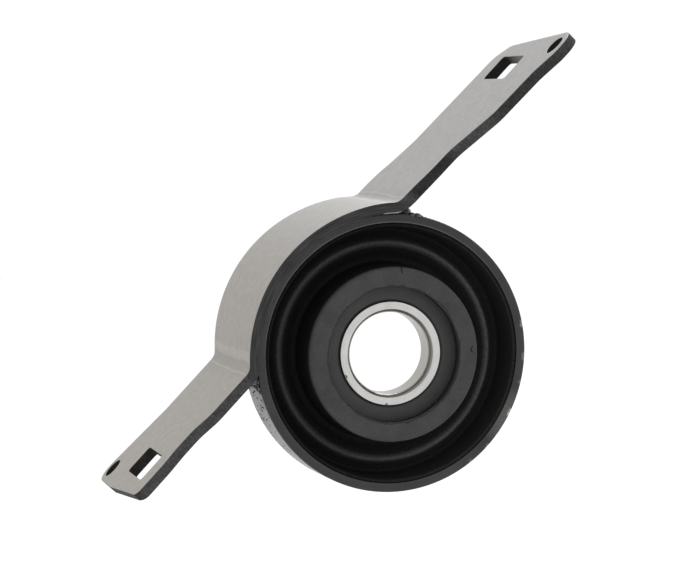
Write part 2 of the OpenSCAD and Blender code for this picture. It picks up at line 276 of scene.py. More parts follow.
def grid_faces(rows, columns, wrap_rows=False):
    """Quads of a grid counted row by row: each row is a closed loop, and wrapped rows close on themselves."""
    i = np.arange(rows if wrap_rows else rows - 1)[:, None]
    j = np.arange(columns)[None, :]
    i_next = (i + 1) % rows
    j_next = (j + 1) % columns
    corners = [i * columns + j, i * columns + j_next, i_next * columns + j_next, i_next * columns + j]
    return np.stack(corners, axis=-1).reshape(-1, 4)


def turned(profile, turns):
    """Closed profile of (radius, y) carried round the Y axis: point = (radius cos a, y, radius sin a)."""
    angle = np.linspace(0, 2 * np.pi, turns, endpoint=False)[:, None]
    radius = profile[None, :, 0]
    y = profile[None, :, 1] + 0 * angle
    points = np.stack([radius * np.cos(angle), y, radius * np.sin(angle)], axis=-1)
    return points, grid_faces(turns, len(profile), wrap_rows=True)


def askew(points, share=1.0):
    """Points moved by a share of how the ring sits askew: along x in proportion to y, and a little up."""
    points[..., 0] -= RING_LEAN * points[..., 1] * share
    points[..., 2] += RING_RISE * share
    return points


def waves(angle, counts, rng):
    """Sum of sines with random phases, each as high as one over its count, scaled to about 1."""
    phases = rng.uniform(0, 2 * np.pi, len(counts))
    total = sum(np.sin(n * angle + p) / n for n, p in zip(counts, phases))
    return total / sum(1 / n for n in counts)


def lumps(places, axes, sizes):
    """Small mounds, one at each place: the top of an ellipsoid with axes (across, along, out) and sizes."""
    rows = 5
    columns = 10
    rise = np.linspace(-0.25, 0.5, rows)[:, None] * np.pi
    turn = np.linspace(0, 2 * np.pi, columns, endpoint=False)
    flat = np.cos(rise)
    shape = np.stack([flat * np.cos(turn), flat * np.sin(turn), np.sin(rise) + 0 * turn], axis=-1)
    points = np.einsum("rcl,nl,nlk->nrck", shape, sizes, axes) + places[:, None, None, :]
    one = grid_faces(rows, columns)
    faces = (one[None] + (np.arange(len(places)) * rows * columns)[:, None, None]).reshape(-1, 4)
    return points, faces


# Pieces

def put(name, data):
    """A new object in the scene."""
    made = bpy.data.objects.new(name, data)
    bpy.context.scene.collection.objects.link(made)
    return made


def make_piece(name, points, faces, materials, stands_for=(), body="housing", indices=None, uvs=None):
    """A mesh from points in millimetres, merged where they meet, faces outwards, riding on a CAD body."""
    mesh = bpy.data.meshes.new(name)
    mesh.from_pydata((np.asarray(points).reshape(-1, 3) * MM).tolist(), [], [list(f) for f in faces])
    for material in materials:
        mesh.materials.append(material)
    if indices is not None:
        mesh.polygons.foreach_set("material_index", np.asarray(indices, np.int32))
    if uvs is not None:
        layer = mesh.uv_layers.new(name="surface")
        layer.data.foreach_set("uv", (np.asarray(uvs) * MM).astype(np.float32).ravel())
    work = bmesh.new()
    work.from_mesh(mesh)
    bmesh.ops.remove_doubles(work, verts=work.verts, dist=2e-7)
    bmesh.ops.recalc_face_normals(work, faces=work.faces)
    work.to_mesh(mesh)
    work.free()
    mesh.polygons.foreach_set("use_smooth", np.ones(len(mesh.polygons), bool))
    piece = put(name, mesh)
    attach(piece, body)
    if stands_for:
        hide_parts(*stands_for)


# Finishes

class Nodes:
    """A node tree, with short ways to add coordinates, noise, sums, ramps and mixes."""

    def __init__(self, tree):
        self.tree = tree

    def feed(self, socket, value):
        """A value, or the output of another node, for a socket."""
        if isinstance(value, bpy.types.NodeSocket):
            self.tree.links.new(value, socket)
        else:
            socket.default_value = value

    def add(self, kind, *values, **settings):
        """A node with its settings, its first inputs filled with the values in order."""
        made = self.tree.nodes.new(kind)
        for key, value in settings.items():
            setattr(made, key, value)
        for socket, value in zip(made.inputs, values):
            if value is not None:
                self.feed(socket, value)
        return made

    def place(self, output="Object"):
        """Coordinates of the surface."""
        return self.add("ShaderNodeTexCoord").outputs[output]

    def parts(self, output="Object"):
        """The three numbers of the coordinates."""
        return self.add("ShaderNodeSeparateXYZ", self.place(output)).outputs

    def math(self, operation, a, b=0.0):
        """One sum with one or two numbers."""
        return self.add("ShaderNodeMath", a, b, operation=operation).outputs[0]

    def times(self, first, *others):
        """Product of all numbers."""
        for other in others:
            first = self.math("MULTIPLY", first, other)
        return first

    def span(self, value, start, end, low=0.0, high=1.0):
        """From low to high while the value runs from start to end, and held there beyond."""
        return self.add("ShaderNodeMapRange", value, start, end, low, high).outputs[0]

    def noise(self, vector, scale, detail, roughness):
        """Cloudy noise from 0 to 1."""
        return self.add("ShaderNodeTexNoise", vector, None, scale, detail, roughness).outputs["Fac"]

    def ramp(self, factor, *stops, ease="LINEAR"):
        """Grey or colour stops (place, value) along a factor."""
        made = self.add("ShaderNodeValToRGB", factor)
        made.color_ramp.interpolation = ease
        elements = made.color_ramp.elements
        while len(elements) < len(stops):
            elements.new(0.5)
        for element, (place, value) in zip(elements, stops):
            element.position = place
            element.color = (*value, 1.0) if isinstance(value, tuple) else (value, value, value, 1.0)
        return made.outputs["Color"]

    def mix(self, factor, a, b, blend="MIX"):
        """Colour between a and b, or b laid over a by another rule of blending."""
        made = self.add("ShaderNodeMix", data_type="RGBA", blend_type=blend)
        self.feed(made.inputs["Factor"], factor)
        self.feed(made.inputs["A"], a)
        self.feed(made.inputs["B"], b)
        return made.outputs["Result"]


class Finish(Nodes):
    """A material for one finish, with the coordinates and marks that this part's finishes share."""

    def __init__(self, name, colour, roughness, metallic=0.0, specular=0.5):
        self.material = bpy.data.materials.new(name)
        self.material.use_nodes = True
        super().__init__(self.material.node_tree)
        self.shader = self.tree.nodes["Principled BSDF"]
        self.set("Base Color", (*colour, 1.0))
        self.set("Roughness", roughness)
        self.set("Metallic", metallic)
        self.set("Specular IOR Level", specular)

    def set(self, socket, value):
        """A value, or the output of another node, for one of the shader's sockets."""
        self.feed(self.shader.inputs[socket], value)

    def bump(self, height, strength, distance):
        """Fine relief of the surface from a height."""
        made = self.add("ShaderNodeBump")
        self.feed(made.inputs["Strength"], strength)
        self.feed(made.inputs["Distance"], distance)
        self.feed(made.inputs["Height"], height)
        self.set("Normal", made.outputs["Normal"])

    def grain(self, scale, detail, roughness):
        """Noise that is alike in all directions."""
        return self.noise(self.place(), scale, detail, roughness)

    def strokes(self, scale, roughness, detail=4.0):
        """Noise on the unrolled surface, with a scale of its own along it and across it."""
        drawn = self.add("ShaderNodeVectorMath", self.place("UV"), (*scale, 0.0), operation="MULTIPLY")
        return self.noise(drawn.outputs[0], 1.0, detail, roughness)

    def tinted(self, tone, tint):
        """A tone times a tint."""
        return self.mix(1.0, tone, tint, "MULTIPLY")

    def length(self, a, b):
        """Root of the sum of two squares."""
        return self.math("SQRT", self.math("ADD", self.times(a, a), self.times(b, b)))

    def round_axis(self, lean=0.0, rise=0.0):
        """Radius from the bearing axis, y, and the cosine and sine of the angle round it, with the lean and
        rise of a ring that sits askew taken out."""
        x, y, z = self.parts()
        x = self.math("ADD", x, self.times(y, lean))
        z = self.math("SUBTRACT", z, rise * MM)
        radius = self.length(x, z)
        return radius, y, self.math("DIVIDE", x, radius), self.math("DIVIDE", z, radius)

    def towards(self, cosine, sine, angle):
        """Cosine of how far the angle round the axis is from a given one."""
        return self.math("ADD", self.times(cosine, math.cos(angle)), self.times(sine, math.sin(angle)))

    def nick(self, x, z, radius, opening, face):
        """Mask of a curved nick in a front face, painted dark as the shade in it: an arc about (x, z) with
        its open side in a direction.
        """
        parts = self.parts()
        dx = self.math("SUBTRACT", parts[0], x * MM)
        dz = self.math("SUBTRACT", parts[2], z * MM)
        off = self.math("ABSOLUTE", self.math("SUBTRACT", self.length(dx, dz), radius * MM))
        line = self.span(off, NICK_LINE[0] * MM, NICK_LINE[1] * MM)
        closed = self.math("LESS_THAN", self.towards(dx, dz, opening), -0.25 * radius * MM)
        front = self.math("LESS_THAN", parts[1], (face + 1.0) * MM)
        return self.times(line, closed, front)

    def turning(self, fine, slow=0.6):
        """Noise in fine lines round the axis, slowly changing along each line."""
        radius, y, cosine, sine = self.round_axis()
        across = self.times(self.math("ADD", radius, y), fine)
        vector = self.add("ShaderNodeCombineXYZ", self.times(cosine, slow), self.times(sine, slow), across)
        return self.noise(vector.outputs[0], 1.0, 4.0, 0.6)


def blasted_plate():
    """Satin grey plate: blasted grain, faint rolling lines along the strip, painted light that leaves the
    left half darker and warmer, and press marks at both bends."""
    made = Finish("blasted_plate", (0.3, 0.295, 0.29), 0.5, metallic=0.7)
    grain = made.grain(1300.0, 3.0, 0.75)
    mottle = made.grain(330.0, 3.0, 0.6)
    rolling = made.strokes((25.0, 900.0), 0.6)
    clouds = made.grain(26.0, 4.0, 0.55)
    tone = made.ramp(clouds, (0.3, (0.3, 0.285, 0.265)), (0.7, (0.348, 0.334, 0.315)))
    rolled = made.ramp(rolling, (0.3, (0.285, 0.274, 0.258)), (0.7, (0.362, 0.348, 0.331)))
    mottled = made.ramp(mottle, (0.35, (0.25, 0.242, 0.23)), (0.65, (0.43, 0.418, 0.4)))
    blasted = made.ramp(grain, (0.35, (0.22, 0.216, 0.21)), (0.65, (0.46, 0.447, 0.43)))
    tone = made.mix(0.35, tone, rolled)
    tone = made.mix(0.3, tone, mottled)
    tone = made.mix(0.3, tone, blasted)
    # Painted light along the arms: the left half darker and warmer, the right a little cooler.
    along_arm = made.span(made.parts()[0], -0.1, 0.12)
    painted_light_tint = made.ramp(along_arm, (0.4, (0.95, 0.93, 0.905)), (0.58, (0.985, 0.985, 0.99)),
                       (0.75, (0.97, 0.985, 1.02)), (1.0, (0.985, 0.995, 1.02)))
    tone = made.tinted(tone, painted_light_tint)
    run = made.math("ABSOLUTE", made.parts("UV")[0])
    wander = made.times(made.math("SUBTRACT", clouds, 0.5), 0.004)
    pressed = made.math("ADD", made.math("SUBTRACT", run, ARCH_S * MM), wander)
    marks = made.ramp(made.span(pressed, -0.006, 0.008), (0.0, 0.5), (0.12, 0.5), (0.16, 0.62), (0.36, 0.6),
                      (0.42, 0.4), (0.68, 0.44), (0.72, 0.68), (0.76, 0.46), (1.0, 0.5))
    made.set("Base Color", made.mix(0.5, tone, marks, "OVERLAY"))
    made.set("Roughness", made.ramp(made.mix(0.5, grain, clouds), (0.3, 0.42), (0.7, 0.56)))
    made.bump(made.mix(0.3, grain, rolling), 0.2, 0.0002)
    return made.material


def cut_edge(name, level):
    """Dark edge of the plate at a level of brightness, set low for painted shade on hole walls: fine
    striations across its thickness on the arms, painted shade at the left tip's end, darker after the right
    bend and lighter where the right arm steps out, scratches that follow the arch, painted light on the end
    wall in the right window and a burr along the underside where the right bend leaves the ring, painted
    bright as a glint."""
    made = Finish(name, (0.03, 0.03, 0.03), 0.5, specular=0.03 * level)
    striations = made.strokes((2100.0, 480.0), 0.75)
    scratches = made.turning(2400.0, 6.0)
    patches = made.strokes((90.0, 200.0), 0.6, 3.0)
    x, y, _ = made.parts()
    across = made.ramp(striations, (0.34, 0.022 * level), (0.5, 0.042 * level), (0.66, 0.085 * level))
    across = made.mix(0.3, across, made.ramp(patches, (0.35, 0.025 * level), (0.7, 0.065 * level)))
    # Along x: painted shade darkens the left tip's end; the edge is also darker after the right bend and
    # lighter where the right arm steps out.
    run = made.span(x, -0.105, 0.128)
    shade = made.ramp(run, (0.0, 0.4), (0.018, 0.45), (0.032, 1.2), (0.643, 1.2), (0.655, 0.6), (0.725, 0.6),
                      (0.747, 1.25), (0.807, 1.25), (0.841, 0.7), (1.0, 0.95))
    across = made.tinted(across, shade)
    round_arch = made.ramp(scratches, (0.35, 0.027 * level), (0.5, 0.038 * level), (0.68, 0.062 * level))
    on_arch = made.math("LESS_THAN", made.math("ABSOLUTE", x), BEND_X * MM)
    tone = made.mix(on_arch, across, round_arch)
    # Painted light on the end wall of the right window.
    end_wall = (RIGHT_REACH - RIGHT_WINDOW_X + WINDOW[0] / 2) * MM
    near_wall = made.math("LESS_THAN", made.math("ABSOLUTE", made.math("SUBTRACT", x, end_wall)), 0.4 * MM)
    in_window = made.math("GREATER_THAN", y, (WINDOW_Y - WINDOW[1] / 2 - 1.0) * MM)
    lit = made.times(made.span(y, 0.019, -0.002, 0.0, 0.8), in_window, near_wall)
    tone = made.mix(lit, tone, (0.25, 0.25, 0.245, 1.0))
    # The burr along the underside by the right bend, painted bright as a glint.
    underside = made.math("LESS_THAN", made.parts("UV")[1], BURR_GLINT_H * MM)
    front = made.math("LESS_THAN", y, (1.0 - STRAP_FRONT) * MM)
    off_burr = made.math("ABSOLUTE", made.math("SUBTRACT", x, BURR_GLINT_X * MM))
    burr_glint = made.times(underside, front, made.span(off_burr, BURR_GLINT_REACH[0] * MM, BURR_GLINT_REACH[1] * MM))
    made.set("Base Color", made.mix(burr_glint, tone, (0.36, 0.36, 0.35, 1.0)))
    made.set("Roughness", made.ramp(striations, (0.3, 0.6), (0.7, 0.42)))
    made.bump(made.mix(on_arch, striations, scratches), 0.25, 0.0002)
    return made.material


def coated_ring():
    """Black coat on the ring: turning lines under it, fine specks, a painted highlight along the inner
    corner, brightest towards the upper right, a worn stretch low on its front, bright chips along the outer
    corner and painted shade in the crevice below the left weld."""
    made = Finish("coated_ring", (0.014, 0.014, 0.015), 0.3)
    lines = made.turning(2600.0)
    specks = made.grain(900.0, 2.0, 0.6)
    patches = made.grain(70.0, 4.0, 0.6)
    tone = made.ramp(patches, (0.35, 0.008), (0.7, 0.02))
    tone = made.mix(made.ramp(lines, (0.58, 0.0), (0.78, 0.5)), tone, (0.05, 0.05, 0.052, 1.0))
    radius, y, cosine, sine = made.round_axis(RING_LEAN, RING_RISE)
    front = made.math("LESS_THAN", y, (0.4 - RING_HALF) * MM)
    # Painted highlight on the inner corner of the front, brightest towards the upper right.
    inner_corner = made.math("LESS_THAN", radius, (RING_IN_R - RING_COVER + 0.4) * MM)
    upwards = made.span(made.towards(cosine, sine, RING_HIGHLIGHT_ANGLE), 0.1, 0.8, 0.2)
    tone = made.mix(made.times(inner_corner, front, upwards), tone, (0.06, 0.06, 0.06, 1.0))
    worn = made.span(made.towards(cosine, sine, RING_WORN[0]), math.cos(RING_WORN[1]), 1.0, 0.0, 0.4)
    tone = made.mix(made.times(worn, front), tone, (0.13, 0.13, 0.12, 1.0))
    torn = made.times(made.grain(520.0, 3.0, 0.7), 4.0 * MM)
    near_edge = made.span(made.math("ADD", radius, torn), (RING_R + 0.7) * MM, (RING_R + 1.4) * MM)
    on_corner = made.times(near_edge, made.math("LESS_THAN", y, (1.2 - RING_HALF) * MM))
    for angle, reach, strength in RING_CHIPS:
        facing = made.towards(cosine, sine, math.radians(angle))
        outer = math.cos(math.radians(reach))
        chip = made.span(facing, outer, math.cos(math.radians(reach / 2)), 0.0, strength)
        tone = made.mix(made.times(chip, on_corner), tone, (0.4, 0.4, 0.39, 1.0))
    # Painted shade in the crevice under the left bend, on the ring's wall below the weld.
    ragged_shade = made.math("ADD", sine, made.times(made.grain(500.0, 3.0, 0.6), 0.05))
    below_seam = made.span(ragged_shade, CREVICE_SHADE_SINE, CREVICE_SHADE_SINE + 0.015)
    on_wall = made.math("GREATER_THAN", radius, (RING_R - 0.1) * MM)
    crevice_shade = made.times(below_seam, on_wall, made.math("LESS_THAN", cosine, 0.0))
    made.set("Base Color", made.mix(crevice_shade, tone, (0.004, 0.004, 0.004, 1.0)))
    smooth = made.ramp(made.mix(0.5, specks, patches), (0.35, 0.2), (0.65, 0.36))
    made.set("Roughness", made.mix(crevice_shade, smooth, (1.0, 1.0, 1.0, 1.0)))
    made.bump(made.mix(0.5, specks, lines), 0.1, 0.0002)
    return made.material


def weld_bead():
    """Weld metal: dark scale with lighter, smoother crests and a trace of heat colours."""
    made = Finish("weld_bead", (0.05, 0.05, 0.052), 0.4, metallic=0.7)
    scale = made.grain(700.0, 4.0, 0.65)
    heat = made.grain(160.0, 2.0, 0.5)
    tone = made.ramp(scale, (0.3, (0.02, 0.02, 0.022)), (0.7, (0.16, 0.155, 0.15)))
    heated = made.ramp(heat, (0.3, (0.03, 0.035, 0.045)), (0.7, (0.1, 0.085, 0.07)))
    made.set("Base Color", made.mix(0.3, tone, heated))
    made.set("Roughness", made.ramp(scale, (0.3, 0.55), (0.7, 0.28)))
    made.bump(scale, 0.4, 0.0002)
    return made.material


def moulded_rubber():
    """Black moulded rubber: matt, with painted shade near black in the grooves and at the sleeve's end, a
    painted highlight on the rib's crest, painted light towards the web's lower side, dusty on the hub's
    faces, mould turning lines, a fine grain, a painted shadow line along the ragged lip and two curved nicks
    in the front face, painted dark as the shade in them."""
    made = Finish("moulded_rubber", (0.014, 0.014, 0.014), 0.62, specular=0.04)
    lines = made.turning(1500.0)
    grain = made.grain(1500.0, 3.0, 0.7)
    bloom = made.grain(120.0, 4.0, 0.6)
    radius, y, cosine, sine = made.round_axis()
    across = made.span(radius, HUB_R * MM, RING_IN_R * MM)
    # Tone across the web: painted shade near black in the grooves and darker still at the sleeve's end, and a
    # painted highlight on the rib's crest.
    web = made.ramp(across, (0.0, 0.0105), (0.4, 0.0105), (0.44, 0.024), (0.475, 0.038), (0.505, 0.056),
                    (0.535, 0.054), (0.56, 0.031), (0.585, 0.02), (0.68, 0.018), (0.74, 0.011), (0.92, 0.01),
                    (0.97, 0.006))
    # Painted light: the web brighter towards its lower side, where more light reaches into the grooves.
    painted_light_side = made.span(made.towards(cosine, sine, PAINTED_LIGHT_ANGLE), -0.3, 0.7, 1.0, 1.7)
    web = made.tinted(made.tinted(web, painted_light_side), made.ramp(grain, (0.3, 0.6), (0.7, 1.4)))
    facing = made.math("SUBTRACT", made.math("ABSOLUTE", y), (HALF_W + 2.0) * MM)
    on_hub = made.times(made.span(facing, 0.0, 0.002), made.math("LESS_THAN", radius, (HUB_R + 0.5) * MM))
    powder = made.mix(0.5, bloom, grain)
    dusty = made.ramp(powder, (0.35, (0.044, 0.044, 0.0435)), (0.65, (0.066, 0.066, 0.065)))
    tone = made.mix(on_hub, web, dusty)
    tone = made.mix(made.ramp(lines, (0.6, 0.0), (0.8, 0.2)), tone, (0.045, 0.045, 0.044, 1.0))
    # Painted shadow line along the ragged front lip.
    tear = made.times(made.math("SUBTRACT", made.grain(240.0, 4.0, 0.7), 0.5), 0.0026)
    off_lip = made.math("ABSOLUTE", made.math("ADD", made.math("SUBTRACT", radius, FRONT_LIP_R * MM), tear))
    ragged_shade = made.span(off_lip, 0.0005, 0.0002, 0.0, 0.55)
    tone = made.mix(made.times(ragged_shade, on_hub), tone, (0.012, 0.012, 0.012, 1.0))
    # Nicks painted dark as the shade in their grooves.
    for nick in HUB_NICKS:
        tone = made.mix(made.nick(*nick, HUB_FRONT), tone, (0.014, 0.014, 0.014, 1.0))
    made.set("Base Color", tone)
    made.set("Roughness", made.ramp(made.mix(0.4, bloom, grain), (0.35, 0.54), (0.65, 0.72)))
    made.bump(made.mix(0.45, grain, lines), 0.2, 0.0002)
    return made.material


def seal_rubber():
    """Seal face: satin black rubber with close mould lines round it and painted shade that darkens the lip's
    bevel.
    """
    made = Finish("seal_rubber", (0.014, 0.014, 0.0145), 0.55, specular=0.42)
    lines = made.turning(3200.0)
    bloom = made.ramp(made.grain(150.0, 4.0, 0.6), (0.3, 0.026), (0.7, 0.04))
    tone = made.mix(0.4, bloom, made.ramp(lines, (0.35, 0.02), (0.75, 0.05)))
    # Painted shade on the bevel down to the lip.
    lip = made.span(made.round_axis()[0], (INNER_R + 0.6) * MM, (INNER_R + 1.1) * MM)
    made.set("Base Color", made.mix(lip, (0.008, 0.008, 0.008, 1.0), tone))
    made.set("Roughness", made.ramp(lines, (0.3, 0.5), (0.7, 0.62)))
    made.bump(lines, 0.25, 0.0002)
    return made.material


def ground_steel():
    """Ground bearing steel: bright, with fine grinding lines round the axis, faint stains, a darker chamfer
    at the bore and two nicks in the rim, painted dark as the shade in them."""
    made = Finish("ground_steel", (0.6, 0.595, 0.585), 0.3, metallic=1.0)
    lines = made.turning(5200.0, 1.4)
    stains = made.grain(190.0, 4.0, 0.6)
    tone = made.ramp(lines, (0.3, (0.5, 0.495, 0.485)), (0.7, (0.66, 0.655, 0.645)))
    tone = made.mix(0.3, tone, made.ramp(stains, (0.3, (0.5, 0.48, 0.45)), (0.7, (0.7, 0.7, 0.69))))
    # Lighter at the bore's edge and darker over the chamfer.
    outwards = made.span(made.round_axis()[0], (BORE_R - 0.1) * MM, (BORE_R + BORE_CHAMFER) * MM)
    chamfer_tone = made.ramp(outwards, (0.0, (0.66, 0.63, 0.6)), (0.1, (0.62, 0.6, 0.57)), (0.25, (0.55, 0.53, 0.5)),
                     (0.55, (0.36, 0.35, 0.34)), (0.85, (0.4, 0.39, 0.38)), (1.0, 1.0))
    tone = made.tinted(tone, chamfer_tone)
    # Nicks painted dark as the shade in their grooves.
    for nick in RACE_NICKS:
        tone = made.mix(made.nick(*nick, -HALF_W), tone, (0.03, 0.03, 0.03, 1.0))
    made.set("Base Color", tone)
    made.set("Roughness", made.ramp(made.mix(0.5, lines, stains), (0.3, 0.24), (0.7, 0.4)))
    made.bump(lines, 0.1, 0.0001)
    return made.material


def polished_steel():
    """Lapped balls: mirror bright with a thin smear of grease."""
    made = Finish("polished_steel", (0.72, 0.72, 0.71), 0.06, metallic=1.0)
    smear = made.grain(300.0, 4.0, 0.6)
    made.set("Roughness", made.ramp(smear, (0.4, 0.04), (0.7, 0.16)))
    made.set("Base Color", made.ramp(smear, (0.3, (0.75, 0.75, 0.74)), (0.75, (0.62, 0.61, 0.58))))
    return made.material


def pressed_steel():
    """Pressed strip of the cage: rolled lines round the axis, dull warm grey."""
    made = Finish("pressed_steel", (0.5, 0.48, 0.45), 0.38, metallic=1.0)
    lines = made.turning(1800.0)
    marks = made.grain(500.0, 3.0, 0.6)
    made.set("Base Color", made.ramp(lines, (0.3, (0.4, 0.385, 0.36)), (0.7, (0.56, 0.54, 0.51))))
    made.set("Roughness", made.ramp(marks, (0.3, 0.3), (0.7, 0.48)))
    made.bump(made.mix(0.5, lines, marks), 0.15, 0.0001)
    return made.material


# Strap

def fold(s, y, height):
    """Place of a point of the flat blank once folded: s runs along the strip from the top of the arch,
    y across it and height up from the underside. The strip follows the arch about the bearing axis,
    then the bend about its own centre the other way, then runs straight out. On the right the bend
    stands off the ring a little, as a smooth hump that dies away along the arch and the arm, where the
    underside follows it less, and at the left tip the shear has drawn the underside up a little."""
    side = np.where(s < 0, -1.0, 1.0)
    run = np.abs(s)
    arch = np.minimum(run, ARCH_S) / STRAP_R
    x = (RING_R + height) * np.sin(arch)
    z = (RING_R + height) * np.cos(arch)
    turn = BEND_ANGLE + np.pi + np.clip(run - ARCH_S, 0, BEND_R * BEND_TURN) / BEND_R
    bend_radius = BEND_R + STRAP_T - height
    past_arch = run > ARCH_S
    flat = np.maximum(run - FLAT_S, 0)
    x = np.where(past_arch, BEND_X + bend_radius * np.cos(turn) + flat, x)
    z = np.where(past_arch, BEND_Z + bend_radius * np.sin(turn), z)
    reach = np.where(s < FLAT_S, *BEND_LIFT_REACH)
    under = 1 - height / STRAP_T
    swell = BEND_SWELL * under * np.clip((s - FLAT_S + BEND_SWELL_RUN[0]) / BEND_SWELL_RUN[1], 0, 1)
    z = z + BEND_LIFT * np.exp(-((s - FLAT_S) / reach) ** 2) * (1 - swell)
    z = z + LEFT_BREAK * under * np.clip((LEFT_TIP_S - s) / LEFT_CORNER_R, 0, 1) ** 2
    return np.stack([side * x, y + 0 * x, z], axis=-1)


def blank(x):
    """Place along the flat blank of a point of an arm at x."""
    return np.sign(x) * (np.abs(x) - BEND_X + FLAT_S)


def strap_outline():
    """Outline of the strap seen from above: two stepped arms, each with an ear round its bolt hole."""
    cut = RIGHT_REACH - RIGHT_CUT_X
    cut_y = RIGHT_REAR - RIGHT_REAR_LEAN
    corners = [
        (RIGHT_REACH - RIGHT_FRONT_X - RIGHT_STEP_L, -STRAP_FRONT, SOFT_R),
        (RIGHT_REACH - RIGHT_FRONT_X, RIGHT_FRONT, SOFT_R),
        (RIGHT_HOLE[0] - 1.8 * RIGHT_EAR_R, RIGHT_FRONT - RIGHT_FRONT_LEAN, SOFT_R),
        (RIGHT_HOLE[0] - RIGHT_EAR_R / 2, RIGHT_HOLE[1] - RIGHT_EAR_R, RIGHT_EAR_R),
        (RIGHT_REACH, RIGHT_HOLE[1] - RIGHT_EAR_R, EAR_SHARE * RIGHT_EAR_R),
        (cut + RIGHT_CUT[0], cut_y - RIGHT_CUT[1], RIGHT_EAR_R),
        (cut, cut_y, SOFT_R / 2),
        (RIGHT_REACH - RIGHT_REAR_X, RIGHT_REAR, SOFT_R),
        (RIGHT_REACH - RIGHT_REAR_X - RIGHT_STEP_L, STRAP_REAR, SOFT_R),
        (LEFT_REAR_X - LEFT_REACH, STRAP_REAR, SOFT_R),
        (LEFT_HOLE[0] + LEFT_EAR_R / 4, LEFT_HOLE[1] + LEFT_EAR_R, LEFT_EAR_R),
        (-LEFT_REACH, LEFT_HOLE[1] + LEFT_EAR_R, EAR_SHARE * LEFT_EAR_R),
        (-LEFT_REACH, LEFT_FRONT + LEFT_END_LEAN[1], SOFT_R),
        (LEFT_END_LEAN[0] - LEFT_REACH, LEFT_FRONT, LEFT_CORNER_R),
        (LEFT_FLARE_X - LEFT_REACH, LEFT_FRONT, SOFT_R),
        (LEFT_FLARE_X + LEFT_STEP_L - LEFT_REACH, LEFT_WAIST, SOFT_R),
        (LEFT_WAIST_X - LEFT_REACH, LEFT_WAIST, SOFT_R),
        (LEFT_WAIST_X + LEFT_STEP_L - LEFT_REACH, -STRAP_FRONT, SOFT_R),
    ]
    return rounded(corners, 12)


def window_outline(x):
    """Window in an arm, clockwise: a rectangle with small round corners."""
    sides = [(-0.5, -0.5), (-0.5, 0.5), (0.5, 0.5), (0.5, -0.5)]
    return rounded([(x + i * WINDOW[0], WINDOW_Y + j * WINDOW[1], WINDOW_CORNER) for i, j in sides], 6)


def hole_outline(middle):
    """Bolt hole, clockwise."""
    turn = -np.linspace(0, 2 * np.pi, 72, endpoint=False)
    return middle + HOLE_R * np.stack([np.cos(turn), np.sin(turn)], axis=1)


def inset(loop, depth):
    """The loop moved into the material by depth, at right angles to its own direction."""
    ahead = np.roll(loop, -1, axis=0) - np.roll(loop, 1, axis=0)
    normal = np.stack([ahead[:, 1], -ahead[:, 0]], axis=1) / np.linalg.norm(ahead, axis=1)[:, None]
    return loop - normal * depth


def edge_band(loop):
    """Edge of the plate along a loop: a profile of (depth into the plate, height) that rounds both corners,
    carried along the loop and folded with the strip. Returns points, faces, UVs and which faces are cut."""
    turn = np.linspace(0, np.pi / 2, 5)
    depth = EDGE_R * (1 - np.sin(turn))
    upper = STRAP_T - EDGE_R * (1 - np.cos(turn))
    middle = np.linspace(STRAP_T - EDGE_R, EDGE_R, 5)[1:-1]
    height = np.concatenate([upper, middle, STRAP_T - upper[::-1]])
    depth = np.concatenate([depth, 0 * middle, depth[::-1]])
    rows = np.stack([inset(loop, d) for d in depth])
    points = fold(rows[..., 0], rows[..., 1], height[:, None])
    count = len(loop)
    faces = grid_faces(len(height), count)
    step = np.linalg.norm(np.roll(loop, -1, axis=0) - loop, axis=1)
    length = np.concatenate([[0], np.cumsum(step)])
    i, j = np.divmod(np.arange((len(height) - 1) * count), count)
    u = np.stack([length[j], length[j + 1], length[j + 1], length[j]], axis=1)
    v = np.stack([height[i], height[i], height[i + 1], height[i + 1]], axis=1)
    return points.reshape(-1, 3), faces, np.stack([u, v], axis=-1), i >= 2


def sheet(loops, keep):
    """Triangles of the flat blank inside its outline and outside its holes, with points close together
    on the bends and the arch so that they fold smoothly."""
    bend = np.linspace(ARCH_S - 0.5, FLAT_S + 0.5, 13)
    arch = np.linspace(-ARCH_S, ARCH_S, 80)[1:-1]
    right = np.arange(FLAT_S + SHEET_STEP, blank(RIGHT_REACH), SHEET_STEP)
    left = -np.arange(FLAT_S + SHEET_STEP, -blank(-LEFT_REACH), SHEET_STEP)
    columns = np.sort(np.concatenate([bend, -bend, arch, right, left]))
    rows = np.arange(-STRAP_FRONT - SHEET_MARGIN[0], STRAP_REAR + SHEET_MARGIN[1], SHEET_STEP)
    inside = np.stack(np.meshgrid(columns, rows), axis=-1).reshape(-1, 2)
    inside = inside[keep(inside, 1.2)]
    rims = [inset(loop, EDGE_R) for loop in loops] + [inset(loop, EDGE_R + 0.4) for loop in loops]
    points = np.concatenate(rims + [inside])
    edges = []
    start = 0
    for rim in rims[:len(loops)]:
        index = np.arange(len(rim))
        edges.append(np.stack([start + index, start + (index + 1) % len(rim)], axis=1))
        start += len(rim)
    made = delaunay_2d_cdt([Vector(p) for p in points.tolist()], np.concatenate(edges).tolist(), [], 0, 1e-6)
    flat = np.array([v[:] for v in made[0]])
    triangles = np.array([f[:] for f in made[2]])
    middle = flat[triangles].mean(axis=1)
    return flat, triangles[keep(middle, EDGE_R)]


def inside_loop(points, loop):
    """Whether each point lies inside a closed loop: an odd number of its sides cross the ray to the right."""
    a = loop[None]
    b = np.roll(loop, -1, axis=0)[None]
    p = points[:, None]
    crosses = (a[..., 1] > p[..., 1]) != (b[..., 1] > p[..., 1])
    slope = (b[..., 0] - a[..., 0]) / np.where(b[..., 1] == a[..., 1], 1e-12, b[..., 1] - a[..., 1])
    return (crosses & (p[..., 0] < a[..., 0] + (p[..., 1] - a[..., 1]) * slope)).sum(axis=1) % 2 == 1


